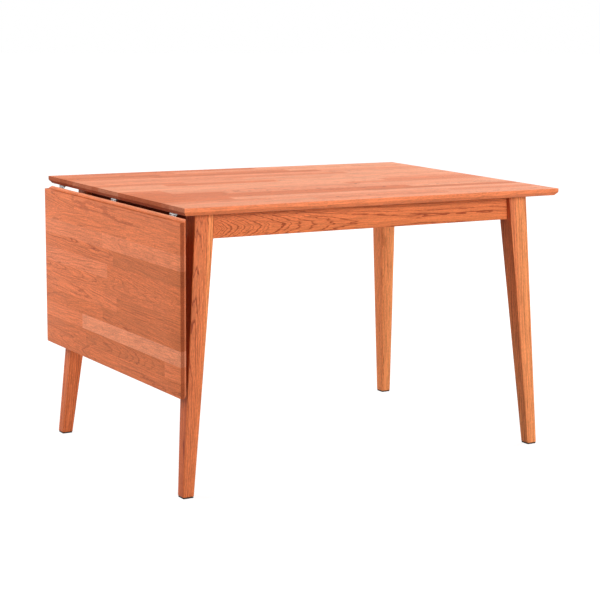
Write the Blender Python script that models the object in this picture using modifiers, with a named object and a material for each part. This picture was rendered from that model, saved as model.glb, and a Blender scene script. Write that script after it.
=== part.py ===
"""Drop-leaf dining table in oak: fixed top, one hanging end leaf, splayed tapered legs.

Metres, +Z up. The floor is z = 0, +X runs along the table away from the leaf and the viewer
stands on the -Y side. Panels are drawn level; the leaf is then turned down about its hinge line.
"""
import math

import bmesh
import bpy
from mathutils import Matrix, Vector

# Origin: under the middle of the whole outline, so the fixed top is a little right of x = 0.
CENTRE_X = 0.006

# Panels
TOP_LENGTH = 1.200
TOP_WIDTH = 0.810
TOP_HEIGHT = 0.747
PANEL_THICKNESS = 0.020
RIM_HEIGHT = 0.0105
UNDER_BEVEL = 0.008
LEAF_DEPTH = 0.443
LEAF_GAP = 0.001
LEAF_LEAN = math.radians(0.8)
UNDERSIDE = TOP_HEIGHT - PANEL_THICKNESS
FIT = 0.0003

# Hinge line of the leaf: just under the panels, inside the joint between them
HINGE_X = CENTRE_X - 0.5892
HINGE_Z = UNDERSIDE - 0.0029
HINGE_Y = (-0.327, 0.004, 0.335)
HINGE_LENGTH = 0.030
HINGE_KNUCKLES = 3
KNUCKLE_RADIUS = 0.0026
HINGE_PIN_RADIUS = 0.0013
PLATE_WIDTH = 0.030
PLATE_THICKNESS = 0.002
PLATE_HOLES = ((0.011, -0.008), (0.022, 0.0), (0.011, 0.008))

# Legs: outer corner and section at the floor and at the underside of the top
FOOT_OUT = Vector((0.5832, 0.3822))
FOOT_SIZE = Vector((0.0314, 0.0314))
HEAD_OUT = Vector((0.5351, 0.3424))
HEAD_SIZE = Vector((0.0593, 0.0570))
HEAD_Z = UNDERSIDE - FIT
FACET_START_Z = 0.27
FACET_WIDTH = 0.021
FACET_DEPTH = 0.004
GLIDE_HEIGHT = 0.004
GLIDE_SIZE = 0.030

# Aprons
APRON_BOTTOM = 0.6558
APRON_THICKNESS = 0.020
LONG_APRON_OUT = 0.3275
SHORT_APRON_OUT = 0.5205

# Corner blocks and hanger bolts, measured along the corner's diagonal
BLOCK_OUTER = 0.0500
BLOCK_INNER = 0.0860
BLOCK_Z = (0.661, 0.721)
BOLT_Z = 0.691
BOLT_RADIUS = 0.004
BOLT_FLAT = 0.0205
BOLT_IN_LEG = 0.028
WASHER_RADIUS = 0.010
WASHER_THICKNESS = 0.0016
NUT_ACROSS_FLATS = 0.013
NUT_THICKNESS = 0.0065

# Flap stays: the pivot is equally far from the hanging and the raised leaf, so arm and leaf turn alike
STAY_Y = 0.200
STAY_REACH = 0.0636
STAY_LENGTH = 0.240
STAY_HALF_WIDTH = 0.008
STAY_THICKNESS = 0.003
STAY_TIP_GAP = 0.0106
BRACKET_HOLES = (-0.011, 0.008)
BRACKET_RISE = 0.016
STAY_PIN_RADIUS = 0.0029
STAY_BORE_RADIUS = 0.0030
CATCH_WIDTH = 0.024
CATCH_THICKNESS = 0.002
CATCH_LIP = 0.003
CATCH_HOLES = (-0.021, 0.106)
SCREW_HEAD_RADIUS = 0.0040

# Angle brackets that hold the top down
ANGLE_SIDE = 0.025
ANGLE_LENGTH = 0.040
ANGLE_THICKNESS = 0.002
ANGLE_HOLE_RADIUS = 0.0022
ANGLE_X = (-0.25, 0.25)

for old in list(bpy.data.objects):
    bpy.data.objects.remove(old, do_unlink=True)

table = bpy.data.collections.new("drop_leaf_table")
cutters = bpy.data.collections.new("cutters")
bpy.context.scene.collection.children.link(table)
bpy.context.scene.collection.children.link(cutters)


def material(name, colour, roughness, metallic=0.0):
    """Principled material with one plain colour."""
    made = bpy.data.materials.new(name)
    made.use_nodes = True
    shader = made.node_tree.nodes["Principled BSDF"]
    shader.inputs["Base Color"].default_value = (*colour, 1.0)
    shader.inputs["Roughness"].default_value = roughness
    shader.inputs["Metallic"].default_value = metallic
    return made


OAK = material("oiled_oak", (0.62, 0.28, 0.14), 0.5)
STEEL = material("zinc_steel", (0.62, 0.62, 0.60), 0.35, 1.0)
FELT = material("dark_felt", (0.05, 0.04, 0.035), 0.9)


def piece(name, mesh_builder, look, pivot=(0.0, 0.0, 0.0), collection=table):
    """Turns a bmesh into one named object whose origin is at the pivot, shaded smooth up to 40 degrees."""
    mesh_builder.normal_update()
    bmesh.ops.recalc_face_normals(mesh_builder, faces=mesh_builder.faces)
    mesh = bpy.data.meshes.new(name)
    mesh_builder.to_mesh(mesh)
    mesh_builder.free()
    mesh.transform(Matrix.Translation(-Vector(pivot)))
    mesh.shade_smooth()
    mesh.set_sharp_from_angle(angle=math.radians(40.0))
    mesh.materials.append(look)
    made = bpy.data.objects.new(name, mesh)
    made.location = pivot
    collection.objects.link(made)
    return made


def cutter(name, mesh_builder):
    """A helper body used only inside a Boolean modifier."""
    made = piece(name, mesh_builder, STEEL, collection=cutters)
    made.hide_render = True
    made.display_type = "WIRE"
    return made


def combine(target, other, operation):
    """Adds one exact Boolean modifier to a piece."""
    boolean = target.modifiers.new(other.name, "BOOLEAN")
    boolean.operation = operation
    boolean.solver = "EXACT"
    boolean.object = other


def soften(target, width, segments=2):
    """Rounds the sharp arrises of a wooden piece."""
    bevel = target.modifiers.new("arris", "BEVEL")
    bevel.width = width
    bevel.segments = segments
    bevel.limit_method = "ANGLE"
    bevel.angle_limit = math.radians(30.0)


def box(low, high):
    """Cube primitive stretched between two corners."""
    shape = bmesh.new()
    size = Vector(high) - Vector(low)
    middle = (Vector(high) + Vector(low)) / 2.0
    place = Matrix.Translation(middle) @ Matrix.Diagonal((*size, 1.0))
    bmesh.ops.create_cube(shape, size=1.0, matrix=place)
    return shape


def rod(start, end, radius, sides=24):
    """Cylinder primitive from one point to another."""
    shape = bmesh.new()
    start = Vector(start)
    run = Vector(end) - start
    turn = run.to_track_quat("Z", "Y").to_matrix().to_4x4()
    place = Matrix.Translation(start + run / 2.0) @ turn
    bmesh.ops.create_cone(shape, cap_ends=True, segments=sides, radius1=radius, radius2=radius,
                          depth=run.length, matrix=place)
    return shape


def rings(*levels):
    """Cube primitive set to two rectangles (x0, x1, y0, y1, z), with any further ones extruded from it."""
    shape = bmesh.new()
    bmesh.ops.create_cube(shape, size=2.0)
    end = [vert for vert in shape.verts if vert.co.z < 0.0]
    for vert in shape.verts:
        x0, x1, y0, y1, z = levels[1] if vert in end else levels[0]
        vert.co = (x1 if vert.co.x > 0.0 else x0, y1 if vert.co.y > 0.0 else y0, z)
    face = next(f for f in shape.faces if all(vert in end for vert in f.verts))
    for x0, x1, y0, y1, z in levels[2:]:
        middle = face.calc_center_median()
        grown = bmesh.ops.extrude_face_region(shape, geom=[face])["geom"]
        if face.is_valid:
            shape.faces.remove(face)
        for vert in (v for v in grown if isinstance(v, bmesh.types.BMVert)):
            vert.co = (x1 if vert.co.x > middle.x else x0, y1 if vert.co.y > middle.y else y0, z)
        face = next(f for f in grown if isinstance(f, bmesh.types.BMFace))
    return shape


def plate(outline, thickness):
    """Filled 2D curve through (u, v) points, extruded both ways and welded into one mesh."""
    curve = bpy.data.curves.new("outline", "CURVE")
    curve.dimensions = "2D"
    curve.fill_mode = "BOTH"
    curve.extrude = thickness / 2.0
    line = curve.splines.new("POLY")
    line.points.add(len(outline) - 1)
    for point, (u, v) in zip(line.points, outline):
        point.co = (u, v, 0.0, 1.0)
    line.use_cyclic_u = True
    drawn = bpy.data.objects.new("outline", curve)
    table.objects.link(drawn)
    drawn_now = drawn.evaluated_get(bpy.context.evaluated_depsgraph_get())
    mesh = bpy.data.meshes.new_from_object(drawn_now)
    shape = bmesh.new()
    shape.from_mesh(mesh)
    bmesh.ops.remove_doubles(shape, verts=shape.verts, dist=0.000002)
    bpy.data.objects.remove(drawn, do_unlink=True)
    bpy.data.curves.remove(curve)
    bpy.data.meshes.remove(mesh)
    return shape


def slab(outline, y0, y1):
    """Outline of (x, z) points with its thickness along Y."""
    shape = plate(outline, y1 - y0)
    shape.transform(Matrix.Translation((0.0, (y0 + y1) / 2.0, 0.0)) @ Matrix.Rotation(math.pi / 2.0, 4, "X"))
    return shape


def countersink(mouth, inward):
    """Cone primitive for a flat screw head: its full width at the mouth, one to one from there."""
    over = 0.001
    depth = SCREW_HEAD_RADIUS - 0.001
    shape = bmesh.new()
    inward = Vector(inward)
    turn = inward.to_track_quat("Z", "Y").to_matrix().to_4x4() @ Matrix.Rotation(math.radians(5.0), 4, "Z")
    place = Matrix.Translation(Vector(mouth) + inward * (depth - over) / 2.0) @ turn
    bmesh.ops.create_cone(shape, cap_ends=True, segments=16, radius1=SCREW_HEAD_RADIUS + over,
                          radius2=SCREW_HEAD_RADIUS - depth, depth=depth + over, matrix=place)
    return shape


def arc(centre, radius, start, end, steps):
    """Points (x, z) on an arc, angles in degrees from +X towards +Z."""
    angles = [math.radians(start + (end - start) * i / steps) for i in range(steps + 1)]
    return [(centre[0] + radius * math.cos(a), centre[1] + radius * math.sin(a)) for a in angles]


def plane_off(shape, point, normal):
    """Cuts away what lies beyond a plane and closes the cut with a flat face."""
    split = bmesh.ops.bisect_plane(shape, geom=shape.verts[:] + shape.edges[:] + shape.faces[:],
                                   plane_co=point, plane_no=normal, clear_outer=True)
    bmesh.ops.holes_fill(shape, edges=[e for e in split["geom_cut"] if isinstance(e, bmesh.types.BMEdge)])


def leg_at(height):
    """Outer corner and section of a leg at a height."""
    share = height / HEAD_Z
    return FOOT_OUT.lerp(HEAD_OUT, share), FOOT_SIZE.lerp(HEAD_SIZE, share)


SIDES = {"left": -1.0, "right": 1.0, "front": -1.0, "back": 1.0}
CORNERS = [(f"{depth}_{side}", SIDES[side], SIDES[depth])
           for depth in ("front", "back") for side in ("left", "right")]

# Fixed top: a level panel with an upright rim and an under-bevel on all four edges
top_x0 = CENTRE_X - TOP_LENGTH / 2.0
top_x1 = CENTRE_X + TOP_LENGTH / 2.0
half_width = TOP_WIDTH / 2.0
rim_z = TOP_HEIGHT - RIM_HEIGHT
inset = UNDER_BEVEL
shape = rings((top_x0, top_x1, -half_width, half_width, TOP_HEIGHT),
              (top_x0, top_x1, -half_width, half_width, rim_z),
              (top_x0 + inset, top_x1 - inset, -half_width + inset, half_width - inset, UNDERSIDE))
soften(piece("table_top", shape, OAK), 0.0012)

# Leaf: the same panel, its hinge edge slanted the other way so that it tucks under the top's bevel
hinge = Vector((HINGE_X, 0.0, HINGE_Z))
turn_down = Matrix.Translation(hinge) @ Matrix.Rotation(-math.pi / 2.0 - LEAF_LEAN, 4, "Y")
turn_down = turn_down @ Matrix.Translation(-hinge)
leaf_x1 = top_x0 - LEAF_GAP
leaf_x0 = leaf_x1 - LEAF_DEPTH
tuck_x = leaf_x1 + 0.0074
shape = rings((leaf_x0, leaf_x1, -half_width, half_width, TOP_HEIGHT),
              (leaf_x0, leaf_x1, -half_width, half_width, rim_z - 0.0007),
              (leaf_x0 + inset, tuck_x, -half_width + inset, half_width - inset, UNDERSIDE))
shape.transform(turn_down)
soften(piece("drop_leaf", shape, OAK, hinge), 0.0012)

# Long and short aprons, their ends cut to the slope of the legs
low_out, low_size = leg_at(APRON_BOTTOM)
for depth in ("front", "back"):
    outer = SIDES[depth] * LONG_APRON_OUT
    inner = SIDES[depth] * (LONG_APRON_OUT - APRON_THICKNESS)
    high_end = HEAD_OUT.x - HEAD_SIZE.x - FIT
    low_end = low_out.x - low_size.x - FIT
    span = (min(outer, inner), max(outer, inner))
    shape = rings((CENTRE_X - low_end, CENTRE_X + low_end, *span, APRON_BOTTOM),
                  (CENTRE_X - high_end, CENTRE_X + high_end, *span, HEAD_Z))
    soften(piece(f"apron_{depth}", shape, OAK), 0.001)
for side in ("left", "right"):
    outer = CENTRE_X + SIDES[side] * SHORT_APRON_OUT
    inner = CENTRE_X + SIDES[side] * (SHORT_APRON_OUT - APRON_THICKNESS)
    high_end = HEAD_OUT.y - HEAD_SIZE.y - FIT
    low_end = low_out.y - low_size.y - FIT
    span = (min(outer, inner), max(outer, inner))
    shape = rings((*span, -low_end, low_end, APRON_BOTTOM), (*span, -high_end, high_end, HEAD_Z))
    soften(piece(f"apron_{side}", shape, OAK), 0.001)

apron_x = SHORT_APRON_OUT - APRON_THICKNESS - FIT
apron_y = LONG_APRON_OUT - APRON_THICKNESS - FIT
for corner, sx, sy in CORNERS:
    # Leg: splayed and tapered, its two edges beside the aprons eased by facets that run out downwards
    foot_out, foot_size = leg_at(GLIDE_HEIGHT)
    levels = []
    for out, size, z in ((foot_out, foot_size, GLIDE_HEIGHT), (HEAD_OUT, HEAD_SIZE, HEAD_Z)):
        xs = sorted((CENTRE_X + sx * out.x, CENTRE_X + sx * (out.x - size.x)))
        ys = sorted((sy * out.y, sy * (out.y - size.y)))
        levels.append((*xs, *ys, z))
    shape = rings(*levels)
    start_out, start_size = leg_at(FACET_START_Z)
    for along in (0, 1):
        across = 1 - along
        start = Vector((0.0, 0.0))
        on_face = Vector((0.0, 0.0))
        on_side = Vector((0.0, 0.0))
        start[along] = start_out[along] - start_size[along]
        start[across] = start_out[across]
        on_face[along] = HEAD_OUT[along] - HEAD_SIZE[along] + FACET_WIDTH
        on_face[across] = HEAD_OUT[across]
        on_side[along] = HEAD_OUT[along] - HEAD_SIZE[along]
        on_side[across] = HEAD_OUT[across] - FACET_DEPTH
        points = [Vector((CENTRE_X + sx * p.x, sy * p.y, z))
                  for p, z in ((start, FACET_START_Z), (on_face, HEAD_Z), (on_side, HEAD_Z))]
        normal = (points[1] - points[0]).cross(points[2] - points[0])
        middle = Vector((CENTRE_X + sx * 0.55, sy * 0.35, 0.4))
        if normal.dot(middle - points[0]) > 0.0:
            normal.negate()
        plane_off(shape, points[0], normal)
    # Its inner corner is planed upright for the bolt, which runs out just under the aprons
    inner_corner = Vector((CENTRE_X + sx * apron_x, sy * apron_y, BOLT_Z))
    inward = Vector((-sx, -sy, 0.0)).normalized()
    plane_off(shape, inner_corner + inward * BOLT_FLAT, inward)
    leg = piece(f"leg_{corner}", shape, OAK)
    soften(leg, 0.0018)

    # Felt glide under the foot
    foot_x = CENTRE_X + sx * (foot_out.x - foot_size.x / 2.0)
    foot_y = sy * (foot_out.y - foot_size.y / 2.0)
    centre = Vector((foot_x, foot_y, 0.0))
    half = Vector((GLIDE_SIZE / 2.0, GLIDE_SIZE / 2.0, 0.0))
    thick = Vector((0.0, 0.0, GLIDE_HEIGHT - FIT))
    soften(piece(f"glide_{corner}", box(centre - half, centre + half + thick), FELT), 0.0006, 1)

    # Corner block across the aprons: diagonal depths are turned into x and y at its ends
    outline = [(0.0, BLOCK_OUTER), (0.0, BLOCK_INNER), (BLOCK_INNER, 0.0), (BLOCK_OUTER, 0.0)]
    outline = [(CENTRE_X + sx * (apron_x - p), sy * (apron_y - q)) for p, q in outline]
    shape = plate(outline, BLOCK_Z[1] - BLOCK_Z[0])
    shape.transform(Matrix.Translation((0.0, 0.0, (BLOCK_Z[0] + BLOCK_Z[1]) / 2.0)))
    block = piece(f"corner_block_{corner}", shape, OAK)
    soften(block, 0.001, 1)

    # Hanger bolt from the leg through the block, with its washer and nut on the inside
    block_face = BLOCK_INNER / math.sqrt(2.0)
    bore_start = inner_corner + inward * (BOLT_FLAT - BOLT_IN_LEG)
    bolt_start = bore_start + inward * 0.004
    bolt_end = inner_corner + inward * (block_face + 0.016)
    bore = cutter(f"bolt_bore_{corner}", rod(bore_start, bolt_end + inward * 0.01, BOLT_RADIUS + FIT))
    combine(leg, bore, "DIFFERENCE")
    combine(block, bore, "DIFFERENCE")
    piece(f"hanger_bolt_{corner}", rod(bolt_start, bolt_end, BOLT_RADIUS), STEEL)
    washer_start = inner_corner + inward * (block_face + FIT)
    washer_end = washer_start + inward * WASHER_THICKNESS
    washer = piece(f"washer_{corner}", rod(washer_start, washer_end, WASHER_RADIUS, 32), STEEL)
    combine(washer, bore, "DIFFERENCE")
    nut_start = washer_end + inward * FIT
    nut_end = nut_start + inward * NUT_THICKNESS
    nut_radius = NUT_ACROSS_FLATS / math.sqrt(3.0)
    nut = piece(f"nut_{corner}", rod(nut_start, nut_end, nut_radius, 6), STEEL)
    combine(nut, bore, "DIFFERENCE")

# Butt hinges: plates drawn level under both panels, knuckles shared in turn along one pin
plate_top = HINGE_Z + KNUCKLE_RADIUS
plate_low = plate_top - PLATE_THICKNESS
knuckle = HINGE_LENGTH / HINGE_KNUCKLES
for number, y in enumerate(HINGE_Y, 1):
    y0 = y - HINGE_LENGTH / 2.0
    y1 = y + HINGE_LENGTH / 2.0
    shape = rod((HINGE_X, y0 - 0.01, HINGE_Z), (HINGE_X, y1 + 0.01, HINGE_Z), HINGE_PIN_RADIUS + 0.0001)
    bore = cutter(f"hinge_bore_{number}", shape)
    for owner, way, first in (("top", 1.0, 0), ("leaf", -1.0, 1)):
        low_turn = math.degrees(math.asin((plate_low - HINGE_Z) / KNUCKLE_RADIUS))
        outline = arc((HINGE_X, HINGE_Z), KNUCKLE_RADIUS, 90.0, 360.0 + low_turn, 20)
        outline += [(HINGE_X + PLATE_WIDTH, plate_low), (HINGE_X + PLATE_WIDTH, plate_top)]
        outline = [(HINGE_X + way * (x - HINGE_X), z) for x, z in outline]
        shape = slab(outline, y0, y1)
        gaps = [i for i in range(HINGE_KNUCKLES) if i % 2 != first]
        openings = []
        for i in gaps:
            reach = KNUCKLE_RADIUS + 0.0006
            start = y0 + i * knuckle - (FIT / 2.0 if i else 0.005)
            end = y0 + (i + 1) * knuckle + (FIT / 2.0 if i < HINGE_KNUCKLES - 1 else 0.005)
            low = (HINGE_X - reach, start, HINGE_Z - reach)
            high = (HINGE_X + reach, end, HINGE_Z + reach)
            openings.append((low, high))
        holes = [countersink((HINGE_X + way * out, y + shift, plate_low), (0.0, 0.0, 1.0))
                 for out, shift in PLATE_HOLES]
        if owner == "leaf":
            for drawn in (shape, *holes):
                drawn.transform(turn_down)
            wing = piece(f"hinge_{number}_leaf_plate", shape, STEEL, hinge)
        else:
            wing = piece(f"hinge_{number}_top_plate", shape, STEEL)
        for count, (low, high) in enumerate(openings, 1):
            combine(wing, cutter(f"hinge_{number}_{owner}_gap_{count}", box(low, high)), "DIFFERENCE")
        combine(wing, bore, "DIFFERENCE")
        for count, hole in enumerate(holes, 1):
            combine(wing, cutter(f"hinge_{number}_{owner}_hole_{count}", hole), "DIFFERENCE")
    shape = rod((HINGE_X, y0 + 0.0005, HINGE_Z), (HINGE_X, y1 - 0.0005, HINGE_Z), HINGE_PIN_RADIUS, 20)
    piece(f"hinge_{number}_pin", shape, STEEL)

# Flap stays: bracket on the left apron, arm hanging behind the leaf, catch strip on the leaf
pivot_fall = math.pi / 4.0 - LEAF_LEAN / 2.0
pivot_back = STAY_REACH * math.cos(pivot_fall)
pivot_drop = STAY_REACH * math.sin(pivot_fall)
pivot_x = HINGE_X + pivot_back
pivot_z = HINGE_Z - pivot_drop
tip_inset = STAY_TIP_GAP - (UNDERSIDE - HINGE_Z)
lean = math.asin((pivot_drop - tip_inset) / STAY_LENGTH)
tip_run = STAY_LENGTH * math.cos(lean) - pivot_back
apron_face = CENTRE_X - SHORT_APRON_OUT - FIT
for name, sy in (("front", -1.0), ("back", 1.0)):
    y = sy * STAY_Y
    web_y = (y + 0.0019, y + 0.0044)
    flange = box((apron_face - 0.0025, y - 0.020, pivot_z - 0.019), (apron_face, y + 0.009, pivot_z + BRACKET_RISE))
    bracket = piece(f"stay_{name}_bracket", flange, STEEL)
    nose = arc((pivot_x, pivot_z), 0.011, 110.0, 250.0, 12)
    outline = nose + [(apron_face - 0.001, pivot_z - 0.015), (apron_face - 0.001, pivot_z + BRACKET_RISE - 0.003)]
    web = cutter(f"stay_{name}_web", slab(outline, *web_y))
    combine(bracket, web, "UNION")
    shape = rod((pivot_x, y - 0.01, pivot_z), (pivot_x, y + 0.01, pivot_z), STAY_BORE_RADIUS)
    bore = cutter(f"stay_{name}_bore", shape)
    combine(bracket, bore, "DIFFERENCE")
    for count, rise in enumerate(BRACKET_HOLES, 1):
        hole = countersink((apron_face - 0.0025, y - 0.011, pivot_z + rise), (1.0, 0.0, 0.0))
        combine(bracket, cutter(f"stay_{name}_bracket_hole_{count}", hole), "DIFFERENCE")

    down = -90.0 + math.degrees(LEAF_LEAN - lean)
    tip = arc((pivot_x, pivot_z), STAY_LENGTH, down, down, 1)[0]
    outline = arc((pivot_x, pivot_z), STAY_HALF_WIDTH, down + 90.0, down + 270.0, 12)
    outline += arc(tip, STAY_HALF_WIDTH, down - 90.0, down + 90.0, 12)
    arm_y = (y - STAY_THICKNESS / 2.0, y + STAY_THICKNESS / 2.0)
    arm = piece(f"stay_{name}_arm", slab(outline, *arm_y), STEEL, (pivot_x, y, pivot_z))
    combine(arm, bore, "DIFFERENCE")

    shape = rod((pivot_x, y - 0.0038, pivot_z), (pivot_x, y + 0.0066, pivot_z), STAY_PIN_RADIUS)
    pin = piece(f"stay_{name}_rivet", shape, STEEL)
    heads = ((y - 0.0042, y - 0.0018), (y + 0.0047, y + 0.0070))
    for count, (start, end) in enumerate(heads, 1):
        shape = rod((pivot_x, start, pivot_z), (pivot_x, end, pivot_z), 0.0052)
        combine(pin, cutter(f"stay_{name}_head_{count}", shape), "UNION")

    # The strip is drawn level under the raised leaf: s runs outwards from the hinge, n downwards
    lip_s = tip_run + 0.0068
    strip = [(tip_run - 0.030, FIT), (tip_run + 0.115, FIT), (tip_run + 0.115, FIT + CATCH_THICKNESS),
             (lip_s + 0.003, FIT + CATCH_THICKNESS), (lip_s + 0.003, FIT + CATCH_THICKNESS + CATCH_LIP),
             (lip_s, FIT + CATCH_THICKNESS + CATCH_LIP), (lip_s, FIT + CATCH_THICKNESS),
             (tip_run - 0.030, FIT + CATCH_THICKNESS)]
    outline = [(HINGE_X - s, UNDERSIDE - n) for s, n in strip]
    shape = slab(outline, y - CATCH_WIDTH / 2.0, y + CATCH_WIDTH / 2.0)
    shape.transform(turn_down)
    catch = piece(f"stay_{name}_catch", shape, STEEL, hinge)
    for count, along in enumerate(CATCH_HOLES, 1):
        mouth = (HINGE_X - tip_run - along, y, UNDERSIDE - FIT - CATCH_THICKNESS)
        hole = countersink(mouth, (0.0, 0.0, 1.0))
        hole.transform(turn_down)
        combine(catch, cutter(f"stay_{name}_catch_hole_{count}", hole), "DIFFERENCE")

# Steel angles between the aprons and the underside of the top
angles = [(f"top_angle_{depth}_{side}", (CENTRE_X + SIDES[side] * ANGLE_X[1], SIDES[depth]), "long")
          for depth in ("front", "back") for side in ("left", "right")]
angles += [(f"top_angle_{side}", (0.0, SIDES[side]), "short") for side in ("left", "right")]
for name, (along, way), kind in angles:
    ell = [(0.0, 0.0), (ANGLE_SIDE, 0.0), (ANGLE_SIDE, ANGLE_THICKNESS), (ANGLE_THICKNESS, ANGLE_THICKNESS),
           (ANGLE_THICKNESS, ANGLE_SIDE), (0.0, ANGLE_SIDE)]
    shape = slab(ell, -ANGLE_LENGTH / 2.0, ANGLE_LENGTH / 2.0)
    holes = []
    for shift in (-0.011, 0.011):
        holes.append(rod((0.015, shift, -0.01), (0.015, shift, 0.01), ANGLE_HOLE_RADIUS, 16))
        holes.append(rod((-0.01, shift, 0.015), (0.01, shift, 0.015), ANGLE_HOLE_RADIUS, 16))
    if kind == "short":
        inner = CENTRE_X + way * (SHORT_APRON_OUT - APRON_THICKNESS - FIT)
        turn = Matrix.Rotation(0.0 if way < 0.0 else math.pi, 4, "Z")
        place = Matrix.Translation((inner, 0.0, HEAD_Z)) @ turn @ Matrix.Diagonal((1.0, 1.0, -1.0, 1.0))
    else:
        inner = way * (LONG_APRON_OUT - APRON_THICKNESS - FIT)
        turn = Matrix.Rotation(-way * math.pi / 2.0, 4, "Z")
        place = Matrix.Translation((along, inner, HEAD_Z)) @ turn @ Matrix.Diagonal((1.0, 1.0, -1.0, 1.0))
    shape.transform(place)
    angle = piece(name, shape, STEEL)
    for count, hole in enumerate(holes, 1):
        hole.transform(place)
        combine(angle, cutter(f"{name}_hole_{count}", hole), "DIFFERENCE")
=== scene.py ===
"""Drop-leaf dining table in oiled oak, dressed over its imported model. Metres, +Z up, floor at z = 0."""
import math

import bmesh
import bpy
import numpy as np
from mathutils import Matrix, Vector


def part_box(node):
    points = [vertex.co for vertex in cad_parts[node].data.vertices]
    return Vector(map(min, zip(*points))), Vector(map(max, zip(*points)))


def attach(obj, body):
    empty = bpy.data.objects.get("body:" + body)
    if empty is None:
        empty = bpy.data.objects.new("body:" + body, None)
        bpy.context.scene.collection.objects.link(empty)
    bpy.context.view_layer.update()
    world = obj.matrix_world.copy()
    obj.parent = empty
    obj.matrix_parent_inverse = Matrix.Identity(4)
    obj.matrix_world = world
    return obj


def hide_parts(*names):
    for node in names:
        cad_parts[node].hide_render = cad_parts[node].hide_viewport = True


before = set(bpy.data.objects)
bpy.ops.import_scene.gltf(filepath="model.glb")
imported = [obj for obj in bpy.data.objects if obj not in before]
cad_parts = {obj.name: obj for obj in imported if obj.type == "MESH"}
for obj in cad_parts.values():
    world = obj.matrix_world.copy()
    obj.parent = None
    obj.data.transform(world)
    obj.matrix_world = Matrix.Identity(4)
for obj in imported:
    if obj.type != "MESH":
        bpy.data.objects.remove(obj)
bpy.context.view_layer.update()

# ---- Legs
# Four solid oak legs, each planed from one blank: tapered to the foot and splayed both ways. Long
# facets ease the edges beside the aprons, and the inner corner is planed upright for the bolt.
TABLE_MIDDLE_X = 0.006
CORNERS = {"front_left": (-1, -1), "front_right": (1, -1), "back_left": (-1, 1), "back_right": (1, 1)}
FOOT_Z = 0.004
HEAD_Z = 0.7267
FLOOR_OUT = np.array([0.5832, 0.3822])
HEAD_OUT = np.array([0.5351, 0.3424])
FLOOR_SECTION = np.array([0.0314, 0.0314])
HEAD_SECTION = np.array([0.0593, 0.0570])
FACET_FROM_Z = 0.27
FACET_WIDTH = 0.021
FACET_DEPTH = 0.004
APRON_INNER_CORNER = np.array([0.5002, 0.3072])
BOLT_FLAT = 0.0205
LEG_ARRIS = 0.0018
LEG_EDGE = 0.0011
LEG_RINGS = 72
LEG_FIRST_RING = 0.012
# Rounding of the foot: height above it, and how far the section is drawn in there
FOOT_EASE = np.array([[0.0, 0.0011], [0.0003, 0.0005], [0.0013, 0.0]])
WELD = 0.000002
# Each leg's blank. Its heart is the middle of the tree, measured from the leg's axis at the floor, and
# leans so much for each metre up. Tone runs from 0, pale, to 1, dark, and more is added towards the
# foot, on the inner face towards the head, on the outer face, on the facet and for each metre leftwards.
# The inner, facet and leftwards tones are painted light and shade: the inner face darker under the
# aprons, a facet paler where it turns to the right and darker where it turns to the left, and the leg
# darker towards its left side.
LEG_BLANKS = {
    "front_left": {"heart": (-0.014, -0.004), "lean": (0.010, 0.045), "figure": 1.0, "tone": 0.54,
                   "foot": 0.14, "inner": 0.0, "outer": 0.2, "facet": -0.36, "leftwards": 4.0},
    "front_right": {"heart": (-0.060, 0.055), "lean": (0.020, -0.030), "figure": 1.1, "tone": 0.0,
                    "foot": 0.0, "inner": 0.5, "outer": 0.0, "facet": 0.20, "leftwards": 12.0},
    "back_left": {"heart": (0.070, -0.045), "lean": (-0.020, 0.030), "figure": 1.2, "tone": 0.80,
                  "foot": 0.0, "inner": 0.0, "outer": 0.0, "facet": -0.22, "leftwards": 0.0},
    "back_right": {"heart": (-0.030, 0.060), "lean": (0.030, 0.020), "figure": 0.6, "tone": 0.0,
                   "foot": 0.0, "inner": 0.0, "outer": 0.0, "facet": 0.22, "leftwards": 14.0},
}
BLANKS_SEED = 11
LOG_LENGTH = 9.0
# How far a face's normal points along a side for the face to count as turned to it
SQUARE_ON = 0.9
FACET_ON = 0.12
END_GRAIN_POWER = 4
OAK_FRAME_TONES = [(0.0, (0.97, 0.345, 0.122)), (0.45, (0.83, 0.230, 0.074)), (1.0, (0.55, 0.116, 0.036))]
# Marks in oak: how often each repeats per metre along, across and into the board
SLOW_SWAY, SLOW_SWAY_REACH = (0.9, 8.0, 8.0), 0.016
QUICK_SWAY = (13.0, 75.0, 75.0)
PORES = (52.0, 1150.0, 1150.0)
FIBRES = (12.0, 300.0, 300.0)
FLECKS = (130.0, 420.0, 420.0)
CLOUDS = (1.7, 24.0, 24.0)
STREAKS = (4.5, 150.0, 150.0)
# Good and poor years: how often they change per metre from the heart, and how far they shift the rings
YEARS_CHANGE, YEARS_SHIFT = 85.0, 1.0 / 90.0
# Between which two values each comes in or fades, along one year's ring or in the noise of its mark
SPRING_STARTS, SPRING_FADES, SUMMER_WOOD = (0.0, 0.04), (0.04, 0.30), (0.6, 1.0)
PORE_EDGE, STREAK_EDGE = (0.58, 0.70), (0.54, 0.72)
# How strongly each mark darkens the board, and the share of each colour that is left at the darkest
STREAK_DARK, SUMMER_DARK, PORE_DARK, END_DARK = 0.40, 0.10, 0.45, 0.85
DARKEST = (0.48, 0.33, 0.27)
# So many times the mark, plus so much: spring wood by its year, pores by spring wood, then brightness
YEAR_LEVEL, PORE_LEVEL = (0.8, 0.4), (0.75, 0.25)
FIBRE_LEVEL, CLOUD_LEVEL, FLECK_LEVEL, END_LEVEL = (1.10, 0.49), (0.30, 0.85), (0.60, 0.70), (-0.25, 1.0)
# What each mark adds to the roughness, and to the relief
PORE_ROUGH, FIBRE_ROUGH, END_ROUGH = 0.16, 0.10, 0.24
PORE_RELIEF, FIBRE_RELIEF, SPRING_RELIEF = -0.7, 0.3, -0.2


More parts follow.
